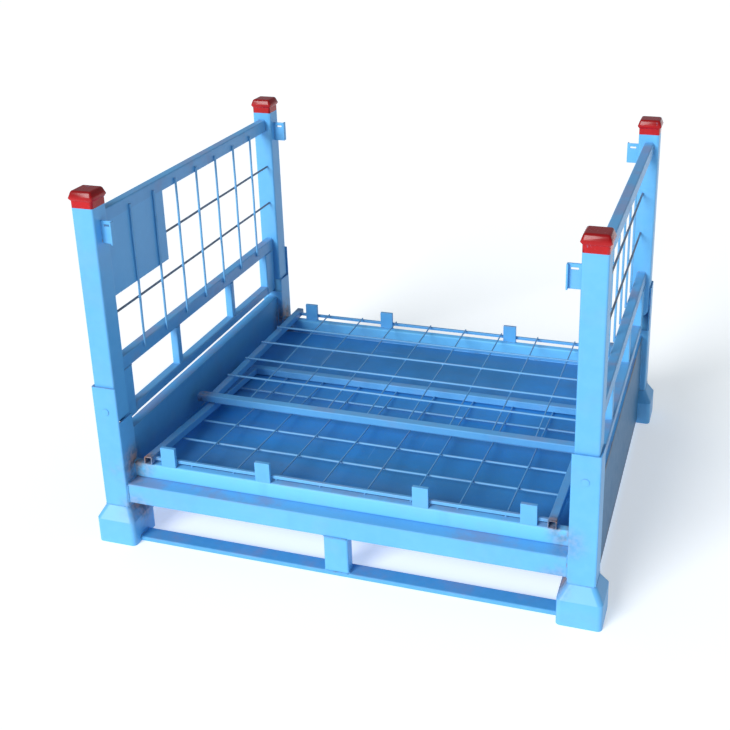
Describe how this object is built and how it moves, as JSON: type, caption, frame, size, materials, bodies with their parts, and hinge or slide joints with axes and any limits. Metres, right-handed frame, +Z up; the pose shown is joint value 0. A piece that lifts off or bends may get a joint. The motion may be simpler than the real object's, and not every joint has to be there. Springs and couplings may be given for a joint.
{
  "type": "wire mesh container",
  "caption": "Stacking pallet cage with a steel base, fork pockets, two inward-folding mesh end frames with capped posts and loose mesh gates lying on the deck.",
  "frame": {"origin": "middle of the footprint, on the floor under the feet", "axes": "+Z up, X along the long side between the end frames, -Y towards the front gate"},
  "size_m": [1.248, 1.065, 0.904],
  "materials": {
    "blue_paint": "worn semi-gloss light blue paint",
    "wire_paint": "worn semi-gloss light blue paint on wire",
    "deck_paint": "scuffed darker blue paint",
    "red_paint": "glossy red paint",
    "bolt_paint": "light blue paint worn to steel on the head"
  },
  "bodies": {
    "base": {"deck_sheet": "deck_paint", "front_centre_block": "blue_paint", "front_gate_stops": "blue_paint", "front_left_foot": "blue_paint", "front_left_socket": "blue_paint", "front_lower_rail": "blue_paint", "front_right_foot": "blue_paint", "front_right_socket": "blue_paint", "front_skid": "blue_paint", "front_upper_rail": "blue_paint", "left_end_rail": "blue_paint", "pivot_bolts": "bolt_paint", "rear_centre_block": "blue_paint", "rear_gate_stops": "blue_paint", "rear_left_foot": "blue_paint", "rear_left_socket": "blue_paint", "rear_lower_rail": "blue_paint", "rear_right_foot": "blue_paint", "rear_right_socket": "blue_paint", "rear_skid": "blue_paint", "rear_upper_rail": "blue_paint", "right_end_rail": "blue_paint"},
    "left_end_frame": {"left_frame_end_stiles": "blue_paint", "left_frame_front_cap": "red_paint", "left_frame_front_post": "blue_paint", "left_frame_gate_brackets": "blue_paint", "left_frame_label_plate": "blue_paint", "left_frame_level_wires": "wire_paint", "left_frame_lower_rail": "blue_paint", "left_frame_mid_rail": "blue_paint", "left_frame_rear_cap": "red_paint", "left_frame_rear_post": "blue_paint", "left_frame_struts": "blue_paint", "left_frame_top_rail": "blue_paint", "left_frame_upright_wires": "wire_paint"},
    "right_end_frame": {"right_frame_end_stiles": "blue_paint", "right_frame_front_cap": "red_paint", "right_frame_front_post": "blue_paint", "right_frame_gate_brackets": "blue_paint", "right_frame_level_wires": "wire_paint", "right_frame_lower_rail": "blue_paint", "right_frame_mid_rail": "blue_paint", "right_frame_rear_cap": "red_paint", "right_frame_rear_post": "blue_paint", "right_frame_struts": "blue_paint", "right_frame_top_rail": "blue_paint", "right_frame_upright_wires": "wire_paint"},
    "front_gate": {"front_gate_bottom_bar": "blue_paint", "front_gate_cross_wires": "wire_paint", "front_gate_long_wires": "wire_paint", "front_gate_stiles": "blue_paint", "front_gate_top_rail": "blue_paint"},
    "rear_gate": {"rear_gate_bottom_bar": "blue_paint", "rear_gate_cross_wires": "wire_paint", "rear_gate_long_wires": "wire_paint", "rear_gate_stiles": "blue_paint", "rear_gate_top_rail": "blue_paint"}
  },
  "joints": [
    {"name": "left_frame_fold", "type": "hinge", "parent": "base", "child": "left_end_frame", "pos_m": [-0.5725, 0, 0.356], "axis": [0, 1, 0], "range_deg": [0, 90]},
    {"name": "right_frame_fold", "type": "hinge", "parent": "base", "child": "right_end_frame", "pos_m": [0.5725, 0, 0.356], "axis": [0, -1, 0], "range_deg": [0, 90]},
    {"name": "front_gate_lift", "type": "slide", "parent": "base", "child": "front_gate", "axis": [0, 0, 1], "range_m": [0, 0.78]},
    {"name": "rear_gate_lift", "type": "slide", "parent": "front_gate", "child": "rear_gate", "axis": [0, 0, 1], "range_m": [0, 0.73]}
  ]
}
